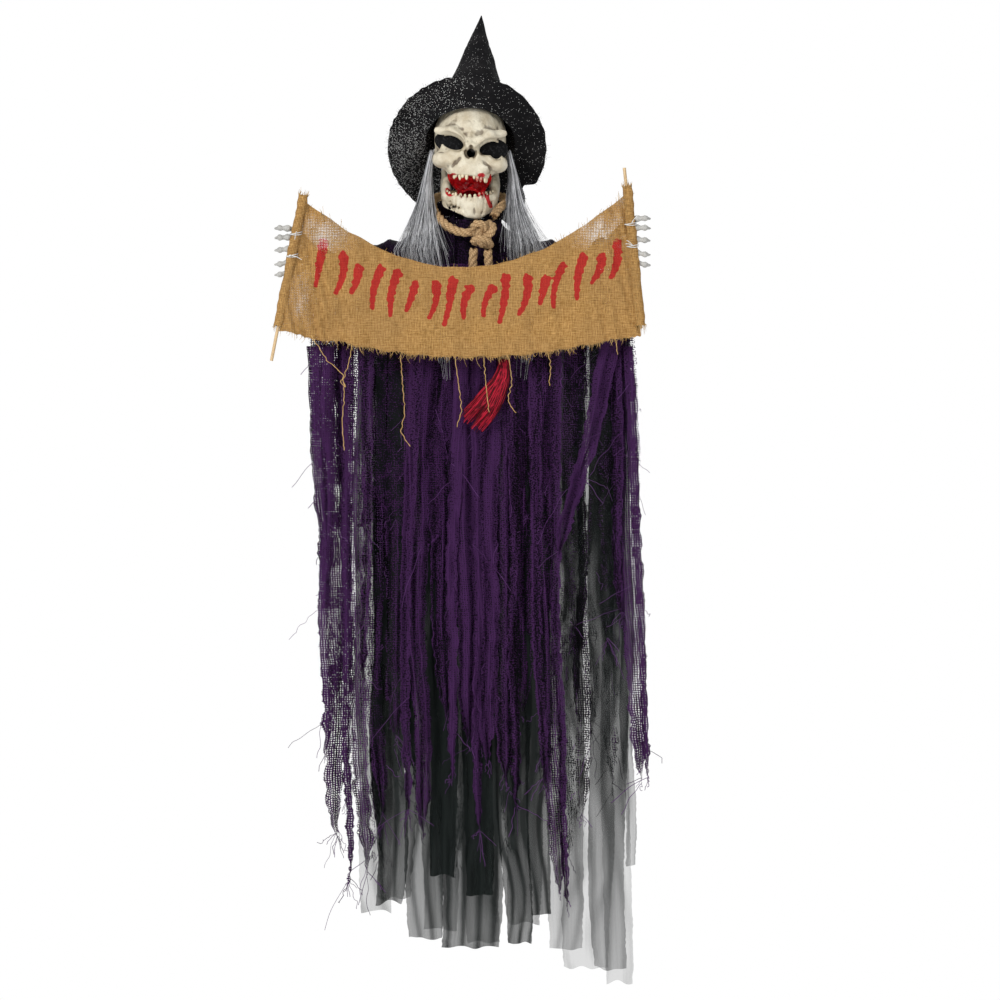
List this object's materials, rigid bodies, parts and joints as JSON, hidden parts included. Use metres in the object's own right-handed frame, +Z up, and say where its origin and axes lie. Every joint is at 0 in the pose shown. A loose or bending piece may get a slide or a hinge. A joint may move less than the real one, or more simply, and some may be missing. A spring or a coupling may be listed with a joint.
{
  "type": "animated hanging witch figure",
  "caption": "Hanging skeleton witch prop with pointed hat, moving jaw, rope noose, burlap banner on dowels and a torn gown over a sheer robe.",
  "frame": {"origin": "centre of the hanging hole in the steel tab behind the neck", "axes": "+Z up, the figure faces -Y, +Y along the hanging hole's axis away from the figure's back, +X towards the viewer's right"},
  "size_m": [0.5908, 0.2667, 1.5417],
  "materials": {
    "bone_plastic": "moulded cream bone with brown patina in the creases",
    "tooth_plastic": "glossy ivory with brown roots",
    "hand_plastic": "grey-white moulded bone",
    "steel": "zinc-plated steel",
    "gear_plastic": "white moulded plastic",
    "motor_metal": "plated motor can",
    "frame_plastic": "dark moulded plastic",
    "eye_mesh": "dark see-through mesh",
    "red_lens": "clear red lens",
    "red_mouth": "wet-looking red gloss",
    "black_felt": "black felt with fine glitter",
    "grey_hair": "long silver-grey synthetic hair",
    "purple_cloth": "dark purple open-weave cloth",
    "sheer_black": "black sheer voile",
    "wood_bar": "planed softwood",
    "burlap": null,
    "clear_tie": "clear nylon loop",
    "jute_rope": "three-strand jute rope",
    "red_rope": "red-dyed frayed jute",
    "box_plastic": "fine-textured black plastic",
    "cell_wrap": "plain printed sleeve",
    "board": "green solder mask",
    "speaker_paper": "black paper cone in a steel basket",
    "cable_rubber": "soft black cable jacket"
  },
  "bodies": {
    "figure": {"skull_face": "bone_plastic", "skull_back": "bone_plastic", "upper_teeth": "tooth_plastic", "jaw_pins": "steel", "motor": "motor_metal", "motor_bracket": "frame_plastic", "skull_screws": "steel", "eye_screens": "eye_mesh", "eye_leds": "red_lens", "mouth_led": "red_lens", "mouth_liner": "red_mouth", "hat_cone": "black_felt", "hat_brim": "black_felt", "hair_left": "grey_hair", "hair_right": "grey_hair", "neck_post": "frame_plastic", "neck_wrap": "purple_cloth", "shoulder_bar": "wood_bar", "hang_tab": "steel", "tab_screws": "steel", "arm_wire_left": "steel", "arm_wire_right": "steel", "sleeve_left": "purple_cloth", "sleeve_right": "purple_cloth", "hand_left": "hand_plastic", "hand_right": "hand_plastic", "hand_ties": "clear_tie", "dowel_left": "wood_bar", "dowel_right": "wood_bar", "banner": "burlap", "banner_pocket_left": "burlap", "banner_pocket_right": "burlap", "rope_loop": "jute_rope", "rope_knot": "jute_rope", "rope_tail": "jute_rope", "rope_tail_short": "jute_rope", "rope_fray": "red_rope", "cape_front": "purple_cloth", "cape_back": "purple_cloth", "robe_front": "sheer_black", "robe_back": "sheer_black", "control_box": "box_plastic", "box_cover": "box_plastic", "batteries": "cell_wrap", "battery_contacts": "steel", "circuit_board": "board", "speaker": "speaker_paper", "box_screws": "steel", "head_cable": "cable_rubber"},
    "lower_jaw": {"jaw": "bone_plastic", "lower_teeth": "tooth_plastic", "jaw_gear": "gear_plastic"},
    "drive_pinion": {"motor_pinion": "gear_plastic", "motor_shaft": "steel"},
    "switch_knob": {"power_switch": "box_plastic"},
    "try_me": {"try_button": "red_mouth"},
    "battery_hatch": {"battery_door": "box_plastic"}
  },
  "joints": [
    {"name": "jaw_hinge", "type": "hinge", "parent": "figure", "child": "lower_jaw", "pos_m": [0, -0.035, 0.1], "axis": [-1, 0, 0], "range_deg": [0, 12]},
    {"name": "pinion_spin", "type": "hinge", "parent": "figure", "child": "drive_pinion", "pos_m": [0.036, -0.035, 0.13], "axis": [-1, 0, 0], "range_deg": [-50, 2]},
    {"name": "power_slide", "type": "slide", "parent": "figure", "child": "switch_knob", "axis": [0, 0, 1], "range_m": [0, 0.003]},
    {"name": "try_press", "type": "slide", "parent": "figure", "child": "try_me", "axis": [1, 0, 0], "range_m": [0, 0.0015], "stiffness_N_per_m": 400},
    {"name": "door_slide", "type": "slide", "parent": "figure", "child": "battery_hatch", "axis": [0, 0, -1], "range_m": [0, 0.03]}
  ],
  "couplings": [
    {"joint": "pinion_spin", "follows": "jaw_hinge", "ratio": -4}
  ]
}
